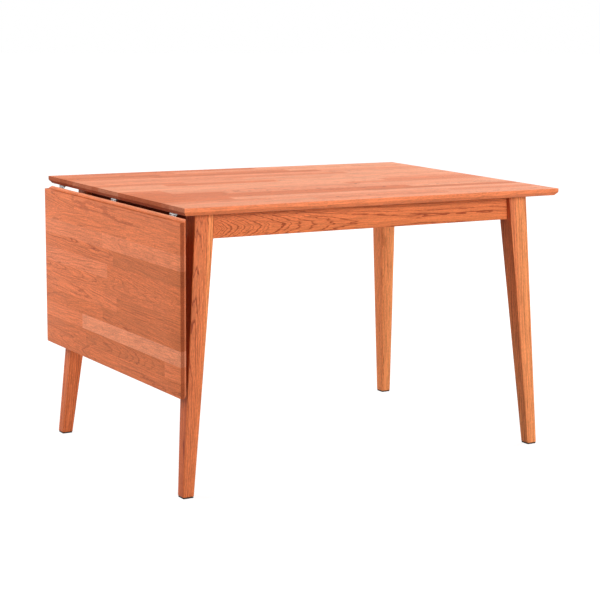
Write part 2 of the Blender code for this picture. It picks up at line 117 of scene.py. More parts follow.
def eased(line, ease, steps=3, closed=True):
    """Rounds the corners of a line: each one becomes a parabola that leaves its two sides at the ease
    distance, or at 45% of a shorter side. An open line gives up its two ends."""
    before = np.roll(line, 1, -2) - line
    after = np.roll(line, -1, -2) - line
    start = line + before * np.minimum(ease / np.linalg.norm(before, axis=-1, keepdims=True), 0.45)
    end = line + after * np.minimum(ease / np.linalg.norm(after, axis=-1, keepdims=True), 0.45)
    t = np.linspace(0.0, 1.0, steps)[:, None]
    curve = ((1 - t) ** 2 * start[..., None, :] + 2 * t * (1 - t) * line[..., None, :]
             + t ** 2 * end[..., None, :])
    curve = curve.reshape(*line.shape[:-2], -1, line.shape[-1])
    return curve if closed else curve[..., steps:-steps, :]


def tube_faces(skin, looped=False):
    """Quads of a tube: point p of ring r joins point p + 1, going round, and the same two of ring r + 1.
    A looped tube also joins its last ring to its first one."""
    rings, points = skin.shape[:2]
    r = np.arange(rings if looped else rings - 1)[:, None]
    p = np.arange(points)[None, :]
    near, far = r * points, (r + 1) % rings * points
    q = (p + 1) % points
    return np.stack([near + p, near + q, far + q, far + p], -1).reshape(-1, 4).tolist()


def capped_tube(skin):
    """Faces of a tube that is closed on its first and on its last ring."""
    rings, points = skin.shape[:2]
    caps = [list(range(points)), list(range((rings - 1) * points, rings * points))]
    return tube_faces(skin) + caps


def new_piece(name, points, faces, look, body, stands_for=(), smooth=35.0):
    """Welds points and faces into one mesh with its faces outwards, and lets it ride on a body."""
    mesh = bpy.data.meshes.new(name)
    mesh.from_pydata(np.asarray(points, float).reshape(-1, 3).tolist(), [], faces)
    welded = bmesh.new()
    welded.from_mesh(mesh)
    bmesh.ops.remove_doubles(welded, verts=welded.verts, dist=WELD)
    bmesh.ops.recalc_face_normals(welded, faces=welded.faces)
    welded.to_mesh(mesh)
    welded.free()
    mesh.shade_smooth()
    mesh.set_sharp_from_angle(angle=math.radians(smooth))
    mesh.materials.append(look)
    piece = bpy.data.objects.new(name, mesh)
    bpy.context.scene.collection.objects.link(piece)
    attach(piece, body)
    if stands_for:
        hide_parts(*stands_for)
    return piece


def face_corners(piece):
    """At every corner of every face: its place, the middle of its face and the normal of its face."""
    mesh = piece.data
    place = np.empty(len(mesh.vertices) * 3)
    mesh.vertices.foreach_get("co", place)
    owner = np.empty(len(mesh.loops), int)
    mesh.loops.foreach_get("vertex_index", owner)
    count = np.empty(len(mesh.polygons), int)
    mesh.polygons.foreach_get("loop_total", count)
    middle = np.empty(len(mesh.polygons) * 3)
    mesh.polygons.foreach_get("center", middle)
    normal = np.empty(len(mesh.polygons) * 3)
    mesh.polygons.foreach_get("normal", normal)
    return (place.reshape(-1, 3)[owner], np.repeat(middle.reshape(-1, 3), count, 0),
            np.repeat(normal.reshape(-1, 3), count, 0))


def lay_grain(piece, along, across, depth, tone, figure, end_grain_and_painted_light):
    """Stores where each face corner lies in its board, measured from the heart of the tree, and next to
    that the board's tone, into which painted light and shade are also laid, how strong its figure is,
    and how far the face is darkened, as end grain is by the oil it drinks, or as painted shade. Below
    zero, that last one is paler: an edge planed afresh, or a painted highlight."""
    grain = np.stack([along, across, depth], -1)
    board = np.stack(np.broadcast_arrays(along, tone, figure, end_grain_and_painted_light)[1:], -1)
    for name, values in (("grain", grain), ("board", board)):
        stored = piece.data.attributes.new(name, "FLOAT_VECTOR", "CORNER")
        stored.data.foreach_set("vector", values.astype(np.float32).ravel())


def new_look(name):
    """A new material, with its node tree and its main shader."""
    look = bpy.data.materials.new(name)
    look.use_nodes = True
    return look, look.node_tree, look.node_tree.nodes["Principled BSDF"]


def add_node(tree, kind, settings=None, **inputs):
    """One shader node with its settings; each input, by name or as i and its number, is a value or
    another node's output."""
    node = tree.nodes.new(kind)
    for name, value in (settings or {}).items():
        setattr(node, name, value)
    for name, value in inputs.items():
        numbered = name[0] == "i" and name[1:].isdigit()
        socket = node.inputs[int(name[1:]) if numbered else name]
        if isinstance(value, bpy.types.NodeSocket):
            tree.links.new(value, socket)
        else:
            socket.default_value = value
    return node


def reckon(tree, operation, first, second=0.0, third=0.0):
    """Output of one Math node."""
    return add_node(tree, "ShaderNodeMath", {"operation": operation}, i0=first, i1=second,
                    i2=third).outputs[0]


def reckon_vector(tree, operation, first, second=(0.0, 0.0, 0.0), third=(0.0, 0.0, 0.0)):
    """Output of one Vector Math node."""
    return add_node(tree, "ShaderNodeVectorMath", {"operation": operation}, i0=first, i1=second,
                    i2=third).outputs[0]


def drawn_noise(tree, place, stretch, detail, output="Fac"):
    """Noise drawn out by how often it repeats per metre in each direction."""
    drawn = reckon_vector(tree, "MULTIPLY", place, stretch)
    return add_node(tree, "ShaderNodeTexNoise", None, Vector=drawn, Scale=1.0, Detail=detail,
                    Roughness=0.55).outputs[output]


def rise(tree, value, low, high):
    """Smooth step from 0 at low to 1 at high."""
    return add_node(tree, "ShaderNodeMapRange", {"interpolation_type": "SMOOTHSTEP"}, i0=value, i1=low,
                    i2=high).outputs[0]


def toned(tree, value, tones):
    """Colour that runs through the tones, each at its own place between 0 and 1."""
    ramp = add_node(tree, "ShaderNodeValToRGB", None, Fac=value)
    stops = ramp.color_ramp.elements
    for _ in tones[2:]:
        stops.new(0.5)
    for stop, (position, colour) in zip(stops, tones):
        stop.position, stop.color = position, (*colour, 1.0)
    return ramp.outputs[0]


def emboss(tree, shader, height, strength, distance):
    """Fine relief under a finish, from a height at every point."""
    bump = add_node(tree, "ShaderNodeBump", None, Strength=strength, Distance=distance, Height=height)
    tree.links.new(bump.outputs[0], shader.inputs["Normal"])


def oiled_oak(name, tones, rings, wander, contrast, gloss, sheen):
    """Oak under oil: growth rings round the heart of each board, rows of open pores and fibres drawn out
    along the grain, a tone for each board, and end grain darkened by the oil it drinks. Painted light and
    shade reach it through the tone and the end grain values."""
    look, tree, shader = new_look(name)
    place = add_node(tree, "ShaderNodeAttribute", {"attribute_name": "grain"}).outputs["Vector"]
    board = add_node(tree, "ShaderNodeAttribute", {"attribute_name": "board"}).outputs["Vector"]
    tone, figure, end_grain_and_painted_light = add_node(tree, "ShaderNodeSeparateXYZ", None, Vector=board).outputs

    swayed = place
    for stretch, reach in ((SLOW_SWAY, SLOW_SWAY_REACH), (QUICK_SWAY, wander)):
        sway = drawn_noise(tree, place, stretch, detail=2.0, output="Color")
        swayed = reckon_vector(tree, "MULTIPLY_ADD", sway, (0.0, reach, reach), swayed)
    flat = reckon_vector(tree, "MULTIPLY", swayed, (0.0, 1.0, 1.0))
    heart = add_node(tree, "ShaderNodeVectorMath", {"operation": "LENGTH"}, i0=flat).outputs["Value"]
    years = add_node(tree, "ShaderNodeTexNoise", {"noise_dimensions": "1D"}, Scale=1.0, Detail=1.0,
                     W=reckon(tree, "MULTIPLY", heart, YEARS_CHANGE)).outputs["Fac"]
    grown = reckon(tree, "MULTIPLY", years, rings * YEARS_SHIFT)
    grown = reckon(tree, "MULTIPLY_ADD", heart, rings, grown)
    ring = reckon(tree, "FRACT", grown)
    year = add_node(tree, "ShaderNodeTexWhiteNoise", {"noise_dimensions": "1D"},
                    W=reckon(tree, "FLOOR", grown)).outputs["Value"]
    spring = reckon(tree, "SUBTRACT", 1.0, rise(tree, ring, *SPRING_FADES))
    spring = reckon(tree, "MULTIPLY", spring, rise(tree, ring, *SPRING_STARTS))
    spring = reckon(tree, "MULTIPLY", spring, reckon(tree, "MULTIPLY_ADD", year, *YEAR_LEVEL))
    summer = rise(tree, ring, *SUMMER_WOOD)

    pores = rise(tree, drawn_noise(tree, place, PORES, detail=1.0), *PORE_EDGE)
    pores = reckon(tree, "MULTIPLY", pores, reckon(tree, "MULTIPLY_ADD", spring, *PORE_LEVEL))
    fibre = drawn_noise(tree, place, FIBRES, detail=4.0)
    fleck = drawn_noise(tree, place, FLECKS, detail=1.0)
    cloud = drawn_noise(tree, place, CLOUDS, detail=2.0)
    streak = rise(tree, drawn_noise(tree, place, STREAKS, detail=3.0), *STREAK_EDGE)

    dark = reckon(tree, "MULTIPLY", streak, contrast * STREAK_DARK)
    dark = reckon(tree, "MULTIPLY_ADD", spring, contrast, dark)
    dark = reckon(tree, "MULTIPLY_ADD", summer, SUMMER_DARK, dark)
    dark = reckon(tree, "MULTIPLY", dark, figure)
    dark = reckon(tree, "MULTIPLY_ADD", end_grain_and_painted_light, END_DARK, dark)
    dark = reckon(tree, "MINIMUM", reckon(tree, "MULTIPLY_ADD", pores, PORE_DARK, dark), 1.0)
    wood = toned(tree, tone, tones)
    mixed = add_node(tree, "ShaderNodeMix", {"data_type": "RGBA"}, i0=dark, i6=wood,
                     i7=reckon_vector(tree, "MULTIPLY", wood, DARKEST)).outputs[2]
    level = reckon(tree, "MULTIPLY_ADD", fibre, *FIBRE_LEVEL)
    for mark, change in ((cloud, CLOUD_LEVEL), (fleck, FLECK_LEVEL), (end_grain_and_painted_light, END_LEVEL)):
        level = reckon(tree, "MULTIPLY", level, reckon(tree, "MULTIPLY_ADD", mark, *change))
    colour = add_node(tree, "ShaderNodeVectorMath", {"operation": "SCALE"}, i0=mixed, Scale=level)
    tree.links.new(colour.outputs[0], shader.inputs["Base Color"])

    rough = reckon(tree, "MULTIPLY_ADD", fibre, FIBRE_ROUGH, gloss - FIBRE_ROUGH / 2.0)
    rough = reckon(tree, "MULTIPLY_ADD", pores, PORE_ROUGH, rough)
    tree.links.new(reckon(tree, "MULTIPLY_ADD", end_grain_and_painted_light, END_ROUGH, rough), shader.inputs["Roughness"])
    shader.inputs["Specular IOR Level"].default_value = sheen
    relief = reckon(tree, "MULTIPLY", fibre, FIBRE_RELIEF)
    relief = reckon(tree, "MULTIPLY_ADD", pores, PORE_RELIEF, relief)
    relief = reckon(tree, "MULTIPLY_ADD", spring, SPRING_RELIEF, relief)
    emboss(tree, shader, relief, strength=0.35, distance=0.0004)
    return look


def leg_surface(side_x, side_y):
    """Eight-sided sections from foot to head. Outer corner and section grow straight with height, the
    two facets grow from nothing, and the bolt flat takes what stands beyond its upright plane."""
    z = np.concatenate([FOOT_Z + FOOT_EASE[:, 0], np.linspace(FOOT_Z + LEG_FIRST_RING, HEAD_Z, LEG_RINGS)])
    inset = np.zeros((z.size, 1, 1))
    inset[:len(FOOT_EASE), 0, 0] = FOOT_EASE[:, 1]
    share = (z / HEAD_Z)[:, None]
    out = FLOOR_OUT + (HEAD_OUT - FLOOR_OUT) * share
    size = FLOOR_SECTION + (HEAD_SECTION - FLOOR_SECTION) * share
    grown = np.clip((z - FACET_FROM_Z) / (HEAD_Z - FACET_FROM_Z), 0.0, 1.0)
    wide = np.maximum(FACET_WIDTH * grown, LEG_ARRIS)
    deep = np.maximum(FACET_DEPTH * grown, LEG_ARRIS)
    beyond = (APRON_INNER_CORNER - out + size).sum(1) - BOLT_FLAT * math.sqrt(2.0)
    flat = np.maximum(beyond, LEG_ARRIS)
    none, arris = np.zeros(z.size), np.full(z.size, LEG_ARRIS)
    sx, sy = size.T
    points = [(arris, none), (sx - wide, none), (sx, deep), (sx, sy - flat), (sx - flat, sy), (deep, sy),
              (none, sy - wide), (none, arris)]
    section = eased(np.moveaxis(np.array(points), -1, 0), LEG_EDGE)
    half = size[:, None, :] / 2.0
    section = half + (section - half) * (1.0 - inset / half)
    x = TABLE_MIDDLE_X + side_x * (out[:, :1] - section[..., 0])
    y = side_y * (out[:, 1:] - section[..., 1])
    return np.stack([x, y, np.broadcast_to(z[:, None], x.shape)], -1)


oak_frame = oiled_oak("oiled_oak_frame", OAK_FRAME_TONES, rings=250.0, wander=0.006, contrast=1.2,
                      gloss=0.52, sheen=0.2)
blanks = np.random.default_rng(BLANKS_SEED)
floor_axis, head_axis = FLOOR_OUT - FLOOR_SECTION / 2.0, HEAD_OUT - HEAD_SECTION / 2.0
for corner, (side_x, side_y) in CORNERS.items():
    skin = leg_surface(side_x, side_y)
    leg = new_piece(f"oak_leg_{corner}", skin, capped_tube(skin), oak_frame, "frame",
                    [f"leg_{corner}"])
    at, _, facing = face_corners(leg)
    height = at[:, 2:]
    share = height / HEAD_Z
    axis = floor_axis + share * (head_axis - floor_axis)
    off = at[:, :2] - (TABLE_MIDDLE_X, 0.0) - (side_x, side_y) * axis
    blank = LEG_BLANKS[corner]
    across, depth = (off - blank["heart"] - height * blank["lean"]).T
    share, inwards, outwards = share[:, 0], -side_x * facing[:, 0], side_y * facing[:, 1]
    # Painted light and shade: the leftwards, facet and inner tones stand in for how the light falls on the
    # leg.
    tone = blank["tone"] + blank["foot"] * (1.0 - share) - blank["leftwards"] * off[:, 0]
    tone += blank["facet"] * ((inwards > FACET_ON) & (outwards > SQUARE_ON))
    tone += blank["inner"] * share ** 2 * (inwards > SQUARE_ON) + blank["outer"] * (-inwards > SQUARE_ON)
    lay_grain(leg, at[:, 2] + blanks.uniform(0.0, LOG_LENGTH), across, depth, np.clip(tone, 0.0, 1.0),
              blank["figure"], np.abs(facing[:, 2]) ** END_GRAIN_POWER)

# ---- Glides
# A pad of dark felt under each foot, cut square and stuck on. It shows as a dark line along the floor
# and lets the table slide.
GLIDE_SIDE = 0.030
GLIDE_CORNER = 0.003
# Its rings from the floor up: how far each is drawn in, and its height
GLIDE_RINGS = np.array([[0.0010, 0.0], [0.0003, 0.0003], [0.0, 0.0010], [0.0, 0.0028], [0.0003, 0.0034],
                        [0.0010, 0.0037]])
FELT_MAT = (1400.0, 1400.0, 900.0)
FELT_TONES = [(0.35, (0.018, 0.013, 0.010)), (0.75, (0.075, 0.058, 0.048))]


def dark_felt():
    """Pressed felt: short fibres matted in every direction, dusty where they stand up."""
    look, tree, shader = new_look("dark_felt")
    place = add_node(tree, "ShaderNodeTexCoord").outputs["Object"]
    mat = drawn_noise(tree, place, FELT_MAT, detail=3.0)
    tree.links.new(toned(tree, mat, FELT_TONES), shader.inputs["Base Color"])
    shader.inputs["Roughness"].default_value = 0.95
    shader.inputs["Specular IOR Level"].default_value = 0.2
    emboss(tree, shader, mat, strength=0.6, distance=0.0005)
    return look


def glide_surface(middle):
    """A square with eased corners, carried upwards and drawn in at both ends."""
    square = np.array([[-1.0, -1.0], [1.0, -1.0], [1.0, 1.0], [-1.0, 1.0]])
    outline = eased(square * (GLIDE_SIDE / 2.0 - GLIDE_RINGS[:, :1, None]), GLIDE_CORNER, steps=6)
    heights = np.broadcast_to(GLIDE_RINGS[:, 1:, None], (*outline.shape[:2], 1))
    return np.concatenate([outline + middle, heights], -1)


felt = dark_felt()
for corner in CORNERS:
    low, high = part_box(f"glide_{corner}")
    skin = glide_surface((np.array(low) + np.array(high))[:2] / 2.0)
    new_piece(f"felt_glide_{corner}", skin, capped_tube(skin), felt, "frame",
              [f"glide_{corner}"])

# ---- Aprons
# Four oak rails under the top, 20 mm thick, set a little behind the faces of the legs. Their ends are
# sawn to the slope of the legs, which are bolted up against them. The long ones show tall flame grain.
# The left one, which the leaf hides, has painted shade: a darker tone, and a darker band along the
# upper edge of its outer face.
APRON_FACES = {"front": -0.3275, "back": 0.3275, "left": -0.5205, "right": 0.5205}
APRON_BOTTOM = 0.6558
APRON_THICKNESS = 0.020
APRON_ARRIS = 0.0012
APRON_END_GAP = 0.0003
APRON_RINGS = 33
# The left rail's dark tone is painted shade behind the leaf.
APRON_TONES = {"front": 0.53, "back": 0.45, "left": 0.85, "right": 0.45}
APRON_FIGURE = 1.4
# Heart of the tree: its height, its rise per metre, how far it lies behind the face, and how much
# further it sinks, over what run, away from the left or front end
APRON_HEART_Z, APRON_HEART_RISE, APRON_HEART_BACK = 0.681, 0.008, 0.011
FLAME_SINKS, FLAME_RUN = 0.052, 0.17
SLOW_GROWN = 1.7
# Painted shade: a darker band on a rail's outer face, from this height up to its top edge, this deep
PAINTED_SHADE_FROM_Z = 0.690
APRON_PAINTED_SHADE = {"front": 0.0, "back": 0.0, "left": 2.6, "right": 0.0}


def apron_surface(half_low, half_high, face, inner):
    """A rectangle with eased edges carried along the rail. At each height the rail is as long as the
    slope of its ends allows. Gives (along, out, height)."""
    outline = np.array([[face, APRON_BOTTOM], [inner, APRON_BOTTOM], [inner, HEAD_Z], [face, HEAD_Z]])
    outline = eased(outline, APRON_ARRIS, steps=4)
    share = (outline[:, 1] - APRON_BOTTOM) / (HEAD_Z - APRON_BOTTOM)
    half = half_low + (half_high - half_low) * share
    along = np.linspace(-1.0, 1.0, APRON_RINGS)[:, None] * half
    return np.stack([along, *np.broadcast_arrays(outline[:, 0], outline[:, 1], along)[:2]], -1)


for rail, face in APRON_FACES.items():
    long_rail = rail in ("front", "back")
    way = 0 if long_rail else 1
    low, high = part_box(f"apron_{rail}")
    half_low = (high[way] - low[way]) / 2.0
    half_high = min(half_low, float((HEAD_OUT - HEAD_SECTION)[way]) - APRON_END_GAP)
    side = np.sign(face)
    skin = apron_surface(half_low, half_high, face, face - side * APRON_THICKNESS)
    along, out, height = np.moveaxis(skin, -1, 0)
    x, y = (along, out) if long_rail else (out, along)
    skin = np.stack([TABLE_MIDDLE_X + x, y, height], -1)
    apron = new_piece(f"oak_apron_{rail}", skin, capped_tube(skin), oak_frame, "frame",
                      [f"apron_{rail}"])
    at, _, facing = face_corners(apron)
    run = at[:, way]
    back = at[:, 1] if long_rail else at[:, 0] - TABLE_MIDDLE_X
    sunk = FLAME_SINKS * (1.0 - np.exp(-(run + half_low) / FLAME_RUN))
    # Painted shade: the left rail's outer face darkens towards its top edge.
    shade_band = np.clip((at[:, 2] - PAINTED_SHADE_FROM_Z) / (HEAD_Z - PAINTED_SHADE_FROM_Z), 0.0, 1.0)
    shade_band = APRON_PAINTED_SHADE[rail] * shade_band * (facing[:, 0] < -SQUARE_ON)
    lay_grain(apron, run + blanks.uniform(0.0, LOG_LENGTH),
              SLOW_GROWN * (at[:, 2] - APRON_HEART_Z + APRON_HEART_RISE * run),
              SLOW_GROWN * (side * (back - face) + APRON_HEART_BACK + sunk),
              APRON_TONES[rail], APRON_FIGURE, shade_band)

# ---- Corner blocks
# An oak block is sawn to fit across each inner corner of the aprons and glued there. The leg's bolt
# comes through the middle of it.
BLOCK_NEAR, BLOCK_FAR = 0.050, 0.086
BLOCK_Z = (0.661, 0.721)
BLOCK_EDGE = 0.001
# Rounding of its two ends: distance from the end, and the share of its outline there
BLOCK_EASE = np.array([[0.0, 0.965], [0.0003, 0.99], [0.001, 1.0]])
BLOCK_HEART, BLOCK_HEART_SPREAD, BLOCK_HEART_Z = 0.4, (0.03, 0.06), 0.70
BLOCK_TONES = (0.3, 0.7)
BLOCK_FIGURE = 0.8


def block_surface(side_x, side_y):
    """A four-cornered outline with eased corners, carried upwards and drawn in a little at both ends."""
    outline = np.array([[0.0, BLOCK_NEAR], [0.0, BLOCK_FAR], [BLOCK_FAR, 0.0], [BLOCK_NEAR, 0.0]])
    middle = outline.mean(0)
    from_end, share = BLOCK_EASE.T
    share = np.concatenate([share, share[::-1]])[:, None, None]
    outline = eased(middle + (outline - middle) * share, BLOCK_EDGE)
    z = np.concatenate([BLOCK_Z[0] + from_end, BLOCK_Z[1] - from_end[::-1]])[:, None]
    x = TABLE_MIDDLE_X + side_x * (APRON_INNER_CORNER[0] - outline[..., 0])
    y = side_y * (APRON_INNER_CORNER[1] - outline[..., 1])
    return np.stack([x, y, np.broadcast_to(z, x.shape)], -1)


for corner, (side_x, side_y) in CORNERS.items():
    skin = block_surface(side_x, side_y)
    block = new_piece(f"oak_block_{corner}", skin, capped_tube(skin), oak_frame, "frame",
                      [f"corner_block_{corner}"])
    at, _, facing = face_corners(block)
    way = np.array([-side_x, -side_y, 0.0]) / math.sqrt(2.0)
    level = np.cross(way, (0.0, 0.0, 1.0))
    lay_grain(block, at @ level + blanks.uniform(0.0, LOG_LENGTH),
              at @ way + BLOCK_HEART + blanks.uniform(*BLOCK_HEART_SPREAD), at[:, 2] - BLOCK_HEART_Z,
              blanks.uniform(*BLOCK_TONES), BLOCK_FIGURE, np.abs(facing @ level) ** END_GRAIN_POWER)

# ---- Corner bolts
# A steel hanger bolt, 8 mm thick, is screwed into each leg and comes through the corner block. A washer
# and a nut on it draw the leg tight against the aprons. All three are zinc plated.
BOLT_Z = 0.691
BOLT_RADIUS = 0.004
BOLT_FROM, BOLT_TO = -0.0035, 0.0768
BOLT_TIP, BOLT_TIP_SLOPE = 0.0026, 1.2
BOLT_SIDES = 16
THREAD_PITCH = 0.00125
THREAD_DEPTH = 0.00055
THREAD_STEPS = 6.0
WASHER_FROM, WASHER_TO, WASHER_RADIUS, WASHER_EDGE = 0.0611, 0.0627, 0.010, 0.0004
NUT_FROM, NUT_TO, NUT_ACROSS = 0.0630, 0.0695, 0.013
NUT_CHAMFER, NUT_CHAMFER_SLOPE = 0.475, 1.7
NUT_CHAMFER_STEPS = np.array([0.0, 0.0003, 0.0006, 0.0009])
ROUND_SIDES = 48
ZINC_PATCHES = (140.0, 140.0, 140.0)
ZINC_SCRATCHES = (2600.0, 180.0, 900.0)
ZINC_TONES = [(0.3, (0.27, 0.28, 0.30)), (0.7, (0.43, 0.42, 0.40))]
SCRATCH_ROUGH, PATCH_ROUGH, ZINC_ROUGH = 0.16, 0.18, 0.16


def zinc_steel():
    """Zinc on steel: faint blue and straw patches, fine drawn scratches, a little dull where handled."""
    look, tree, shader = new_look("bright_zinc")
    place = add_node(tree, "ShaderNodeTexCoord").outputs["Object"]
    patch = drawn_noise(tree, place, ZINC_PATCHES, detail=3.0)
    scratch = drawn_noise(tree, place, ZINC_SCRATCHES, detail=2.0)
    tree.links.new(toned(tree, patch, ZINC_TONES), shader.inputs["Base Color"])
    rough = reckon(tree, "MULTIPLY_ADD", patch, PATCH_ROUGH, ZINC_ROUGH)
    rough = reckon(tree, "MULTIPLY_ADD", scratch, SCRATCH_ROUGH, rough)
    tree.links.new(rough, shader.inputs["Roughness"])
    shader.inputs["Metallic"].default_value = 1.0
    emboss(tree, shader, scratch, strength=0.12, distance=0.0002)
    return look


def around(start, way, distance, radius, angle):
    """Points round an axis: start plus distance along it, plus radius across it at an angle from
    upright."""
    distance, radius, angle = (each[..., None] for each in np.broadcast_arrays(distance, radius, angle))
    level = np.cross(way, (0.0, 0.0, 1.0))
    upright = np.cross(level, way)
    return start + distance * way + radius * (np.cos(angle) * upright + np.sin(angle) * level)


def full_turn(sides):
    """One row of angles that go round once."""
    return np.linspace(0.0, 2.0 * math.pi, sides, endpoint=False)[None, :]


def thread_surface(start, way):
    """A rod whose radius falls by a triangle wave of distance over pitch less turns, which winds into a
    thread. Both ends are turned down to a blunt point."""
    distance = np.arange(BOLT_FROM, BOLT_TO, THREAD_PITCH / THREAD_STEPS)[:, None]
    angle = full_turn(BOLT_SIDES)
    wave = np.abs(2.0 * np.mod(distance / THREAD_PITCH - angle / (2.0 * math.pi), 1.0) - 1.0)
    to_end = np.minimum(distance - BOLT_FROM, distance.max() - distance)
    radius = np.minimum(BOLT_RADIUS - THREAD_DEPTH * wave, BOLT_TIP + to_end * BOLT_TIP_SLOPE)
    return around(start, way, distance, radius, angle)


def washer_surface(start, way):
    """A small rectangle with eased edges carried once round the bolt."""
    outline = np.array([[WASHER_FROM, BOLT_RADIUS], [WASHER_FROM, WASHER_RADIUS],
                        [WASHER_TO, WASHER_RADIUS], [WASHER_TO, BOLT_RADIUS]])
    outline = eased(outline, WASHER_EDGE)
    return around(start, way, outline[:, :1], outline[:, 1:], full_turn(ROUND_SIDES))


def nut_surface(start, way):
    """A ring whose outer radius is the lower of a hexagon and a cone that cuts its corners at both ends.
    The first and last rings are the bore."""
    height = NUT_TO - NUT_FROM
    level = [[0.0], NUT_CHAMFER_STEPS, height - NUT_CHAMFER_STEPS[::-1], [height]]
    level = np.concatenate(level)[:, None]
    angle = full_turn(ROUND_SIDES)
    hexagon = NUT_ACROSS / 2.0 / np.cos(np.mod(angle, math.pi / 3.0) - math.pi / 6.0)
    cone = NUT_ACROSS * NUT_CHAMFER + np.minimum(level, height - level) * NUT_CHAMFER_SLOPE
    radius = np.minimum(hexagon, cone)
    radius[[0, -1]] = BOLT_RADIUS
    return around(start, way, NUT_FROM + level, radius, angle)


zinc = zinc_steel()
for corner, (side_x, side_y) in CORNERS.items():
    way = np.array([-side_x, -side_y, 0.0]) / math.sqrt(2.0)
    start = np.append(APRON_INNER_CORNER * (side_x, side_y) + (TABLE_MIDDLE_X, 0.0), BOLT_Z)
    skin = thread_surface(start, way)
    new_piece(f"threaded_bolt_{corner}", skin, capped_tube(skin), zinc, "frame",
              [f"hanger_bolt_{corner}"])
    skin = washer_surface(start, way)
    new_piece(f"flat_washer_{corner}", skin, tube_faces(skin, looped=True), zinc, "frame",
              [f"washer_{corner}"])
    skin = nut_surface(start, way)
    new_piece(f"hex_nut_{corner}", skin, tube_faces(skin, looped=True), zinc, "frame",
              [f"nut_{corner}"], smooth=25.0)

# ---- Fixed top
# A 20 mm panel of oak staves, 40 mm wide and butted end to end at random, glued flat and sanded. The
# rim stands upright for half its height and is bevelled away underneath.
TOP_Z = 0.747
PANEL_UNDERSIDE = 0.727
PANEL_HALF_WIDTH = 0.405
TOP_FROM_X, TOP_TO_X = -0.594, 0.606
RIM_LOW_Z = 0.7365
UNDER_BEVEL = 0.008
PANEL_ARRIS = 0.0014
# How far the line of the rim runs in over the two faces
RIM_LEAD = 0.02
TOP_ROWS, TOP_STAVES = 20, 4
FIRST_STAVE, STAVE_LENGTH, SHORTEST_STAVE, STAVE_GRID = (0.10, 0.50), (0.36, 0.62), 0.09, 0.006
TOP_SEED, TOP_TREES = 5, 21
# Tones of the staves: drawn by chance round the first, and paler from left to right by the drift,
# which is painted sheen
TOP_TONE, TOP_TONE_SPREAD, TOP_DARKEST = 0.25, 0.27, 0.62
TOP_PAINTED_SHEEN = (0.12, 0.04, -0.16, -0.34)
FRONT_ROW_TONE = 0.08
TOP_FIGURES = (0.4, 1.3)
# Painted shade: extra tone on the underside of each panel
UNDERSIDE_PAINTED_SHADE = 0.45
BEVEL_TONE = 0.08
RIM_TONE = 0.42
RIM_FIGURE = 1.0
RIM_LIFT = 0.50
END_SOAKED = 0.78
# Painted shade: the bevels under both ends are darkened past their end grain
END_BEVEL_PAINTED_SHADE = 1.05
HALF_ON = 0.5
# Heart of a stave's tree: how far to its side, how far below it or above, and its lean per metre
HEART_ASIDE, HEART_BELOW, HEART_LEAN = 0.022, (0.012, 0.085), 0.075
STAVE_LOG = 60.0
OAK_PANEL_TONES = [(0.0, (0.89, 0.350, 0.188)), (0.25, (0.82, 0.270, 0.130)), (0.45, (0.76, 0.202, 0.073)),
                   (0.65, (0.67, 0.170, 0.055)), (0.85, (0.56, 0.147, 0.047)), (1.0, (0.40, 0.112, 0.042))]


def net_parts(rows, columns):
    """Quads of a net of points, and its border as one round trip of points."""
    i, j = np.arange(rows), np.arange(columns)
    cell = (i[:-1, None] * columns + j[None, :-1]).ravel()
    sheet = np.stack([cell, cell + columns, cell + columns + 1, cell + 1], -1)
    border = np.concatenate([i[:-1] * columns, (rows - 1) * columns + j[:-1],
                             i[:0:-1] * columns + columns - 1, j[:0:-1]])
    return sheet, border


def panel_surface(x_lines, y_lines, rim):
    """A closed panel on a net of straight lines. Each ring of the rim is the same net with its outer lines
    drawn in by (low x, high x, both y ends) at its height; the first and last are the two faces."""
    nx, ny = len(x_lines), len(y_lines)
    x = np.repeat(x_lines[None], len(rim), 0)
    y = np.repeat(y_lines[None], len(rim), 0)
    x[:, 0], x[:, -1] = x[:, 0] + rim[:, 0], x[:, -1] - rim[:, 1]
    y[:, 0], y[:, -1] = y[:, 0] + rim[:, 2], y[:, -1] - rim[:, 2]
    net = np.stack(np.broadcast_arrays(x[:, :, None], y[:, None, :], rim[:, 3][:, None, None]), -1)
    sheet, border = net_parts(nx, ny)
    edge = net.reshape(len(rim), -1, 3)[:, border]
    faces = np.concatenate([sheet, sheet + nx * ny]).tolist()
    faces += (np.array(tube_faces(edge)) + 2 * nx * ny).tolist()
    return np.concatenate([net[0].reshape(-1, 3), net[-1].reshape(-1, 3), edge.reshape(-1, 3)]), faces


def rim_line(free, hinged, low_z):
    """Rim from the upper face to the lower one, its three corners eased: rows of inset at low x, inset at
    high x, inset at both y ends, and height."""
    bevel = np.array([free, hinged, free])
    corners = [(0.0 * bevel + RIM_LEAD, TOP_Z), (0.0 * bevel, TOP_Z), (0.0 * bevel, low_z),
               (bevel, PANEL_UNDERSIDE), (bevel + RIM_LEAD, PANEL_UNDERSIDE)]
    return eased(np.array([[*inset, z] for inset, z in corners]), PANEL_ARRIS, steps=5, closed=False)


def stave_marks(along, across, middle_along, middle_across, first_row, pitch, joints, seed):
    """For each face corner, its place in a stave cut from its own tree, then its row and its stave: the
    row is how many pitches the face lies from the first one, the stave how many joints of its row lie
    behind."""
    row = np.clip(((middle_across - first_row) / pitch).astype(int), 0, len(joints) - 1)
    stave = (middle_along[:, None] > joints[row]).sum(1)
    trees = np.random.default_rng(seed)
    shape = (len(joints), joints.shape[1] + 1)
    heart = trees.uniform(-HEART_ASIDE, HEART_ASIDE, shape)[row, stave] + first_row + (row + 0.5) * pitch
    below = (trees.uniform(*HEART_BELOW, shape) * trees.choice([-1.0, 1.0], shape))[row, stave]
    lean = trees.uniform(-HEART_LEAN, HEART_LEAN, (2, *shape))[:, row, stave]
    start = trees.uniform(0.0, STAVE_LOG, shape)[row, stave]
    return along + start, across - heart + lean[0] * along, below + lean[1] * along, row, stave


